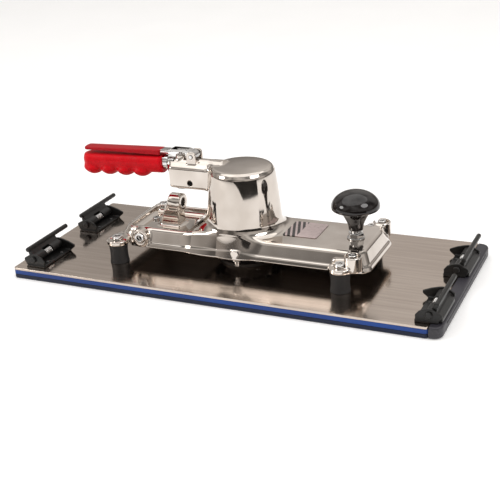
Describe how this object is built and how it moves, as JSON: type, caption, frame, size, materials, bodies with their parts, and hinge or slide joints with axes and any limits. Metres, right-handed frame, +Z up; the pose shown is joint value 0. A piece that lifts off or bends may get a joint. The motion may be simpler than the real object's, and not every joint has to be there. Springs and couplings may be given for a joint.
{
  "type": "orbital sander",
  "caption": "Air-driven orbital board sander: long flat pad on rubber posts under a polished casting, red finger grip with throttle lever, front knob and paper clips.",
  "frame": {"origin": "centre of the pad's working face, on the surface that the tool stands on", "axes": "+X along the pad towards the front knob, +Y across it to the far side, +Z up out of the plate"},
  "size_m": [0.457, 0.2, 0.1245],
  "materials": {
    "face_rubber": "matt black face that the paper lies on",
    "blue_foam": "royal blue closed-cell foam, satin",
    "brushed_plate": "brushed stainless sheet, warm reflections",
    "black_rubber": "moulded black rubber",
    "polished_casting": "polished cast aluminium, softly mirror-like",
    "polished_trim": "bright plated metal",
    "fastener_steel": "zinc plated steel",
    "clip_steel": "black oxide spring steel",
    "spring_steel": "drawn wire and ground pin",
    "label": null,
    "black_plastic": "moulded glossy black",
    "red_grip": "dipped red sleeve, satin",
    "red_lever": "red dipped blade with a bare metal nose",
    "brass": "turned brass",
    "vane": "brown phenolic laminate",
    "felt": "dark pressed felt",
    "bearing_steel": "ground bearing rings",
    "machined_steel": "turned and ground steel"
  },
  "bodies": {
    "housing": {"housing_casting": "polished_casting", "side_plug": "polished_trim", "oil_drain_screw": "fastener_steel", "label_plate": "label", "front_knob": "black_plastic", "knob_stud": "fastener_steel", "motor_lock_ring": "machined_steel", "lower_end_plate": "machined_steel", "lower_bearing": "bearing_steel", "motor_cylinder": "machined_steel", "upper_end_plate": "machined_steel", "upper_bearing": "bearing_steel", "valve_spring": "spring_steel", "exhaust_muffler": "felt", "valve_cap": "fastener_steel", "grip_sleeve": "red_grip", "handle_tube": "polished_trim", "inlet_bush": "brass", "lever_pin": "fastener_steel", "boss_screw_near": "fastener_steel", "boss_screw_far": "fastener_steel", "corner_bolt_rear_near": "fastener_steel", "corner_bolt_rear_far": "fastener_steel", "corner_bolt_front_near": "fastener_steel", "corner_bolt_front_far": "fastener_steel"},
    "drive_shaft": {"eccentric_shaft": "machined_steel", "counterweight": "machined_steel", "rotor": "machined_steel", "rotor_vane_1": "vane", "rotor_vane_2": "vane", "rotor_vane_3": "vane", "rotor_vane_4": "vane"},
    "pad": {"face_layer": "face_rubber", "foam_layer": "blue_foam", "pad_plate": "brushed_plate", "front_bumper": "black_rubber", "pad_bearing_housing": "machined_steel", "pad_bearing": "bearing_steel", "isolator_post_rear_near": "black_rubber", "clip_base_rear_near": "clip_steel", "clip_pin_rear_near": "spring_steel", "clip_spring_rear_near": "spring_steel", "isolator_post_rear_far": "black_rubber", "clip_base_rear_far": "clip_steel", "clip_pin_rear_far": "spring_steel", "clip_spring_rear_far": "spring_steel", "isolator_post_front_near": "black_rubber", "clip_base_front_near": "clip_steel", "clip_pin_front_near": "spring_steel", "clip_spring_front_near": "spring_steel", "isolator_post_front_far": "black_rubber", "clip_base_front_far": "clip_steel", "clip_pin_front_far": "spring_steel", "clip_spring_front_far": "spring_steel"},
    "throttle": {"throttle_lever": "red_lever"},
    "valve": {"valve_stem": "machined_steel"},
    "jaw_rear_near": {"clip_jaw_rear_near": "clip_steel"},
    "jaw_rear_far": {"clip_jaw_rear_far": "clip_steel"},
    "jaw_front_near": {"clip_jaw_front_near": "clip_steel"},
    "jaw_front_far": {"clip_jaw_front_far": "clip_steel"}
  },
  "joints": [
    {"name": "motor_spin", "type": "hinge", "parent": "housing", "child": "drive_shaft", "pos_m": [-0.003, 0, 0.03], "axis": [0, 0, 1], "continuous": true},
    {"name": "pad_orbit", "type": "hinge", "parent": "drive_shaft", "child": "pad", "pos_m": [-0.0014, 0, 0.02], "axis": [0, 0, 1], "continuous": true, "deforming": ["isolator_post_rear_near", "isolator_post_rear_far", "isolator_post_front_near", "isolator_post_front_far"]},
    {"name": "throttle_press", "type": "hinge", "parent": "housing", "child": "throttle", "pos_m": [-0.056, 0, 0.1175], "axis": [0, -1, 0], "range_deg": [0, 1.8], "stiffness_Nm_per_rad": 5, "springref_deg": -2.86},
    {"name": "valve_travel", "type": "slide", "parent": "housing", "child": "valve", "axis": [0, 0, -1], "range_m": [0, 0.0006], "deforming": ["valve_spring"]},
    {"name": "jaw_rear_near_open", "type": "hinge", "parent": "pad", "child": "jaw_rear_near", "pos_m": [-0.207, 0, 0.0195], "axis": [0, 1, 0], "range_deg": [0, 35], "stiffness_Nm_per_rad": 0.3, "springref_deg": -28.65},
    {"name": "jaw_rear_far_open", "type": "hinge", "parent": "pad", "child": "jaw_rear_far", "pos_m": [-0.207, 0, 0.0195], "axis": [0, 1, 0], "range_deg": [0, 35], "stiffness_Nm_per_rad": 0.3, "springref_deg": -28.65},
    {"name": "jaw_front_near_open", "type": "hinge", "parent": "pad", "child": "jaw_front_near", "pos_m": [0.215, 0, 0.0195], "axis": [0, -1, 0], "range_deg": [0, 35], "stiffness_Nm_per_rad": 0.3, "springref_deg": -28.65},
    {"name": "jaw_front_far_open", "type": "hinge", "parent": "pad", "child": "jaw_front_far", "pos_m": [0.215, 0, 0.0195], "axis": [0, -1, 0], "range_deg": [0, 35], "stiffness_Nm_per_rad": 0.3, "springref_deg": -28.65}
  ],
  "couplings": [
    {"joint": "pad_orbit", "follows": "motor_spin", "ratio": -1},
    {"joint": "valve_travel", "follows": "throttle_press", "m_per_rad": 0.016}
  ]
}
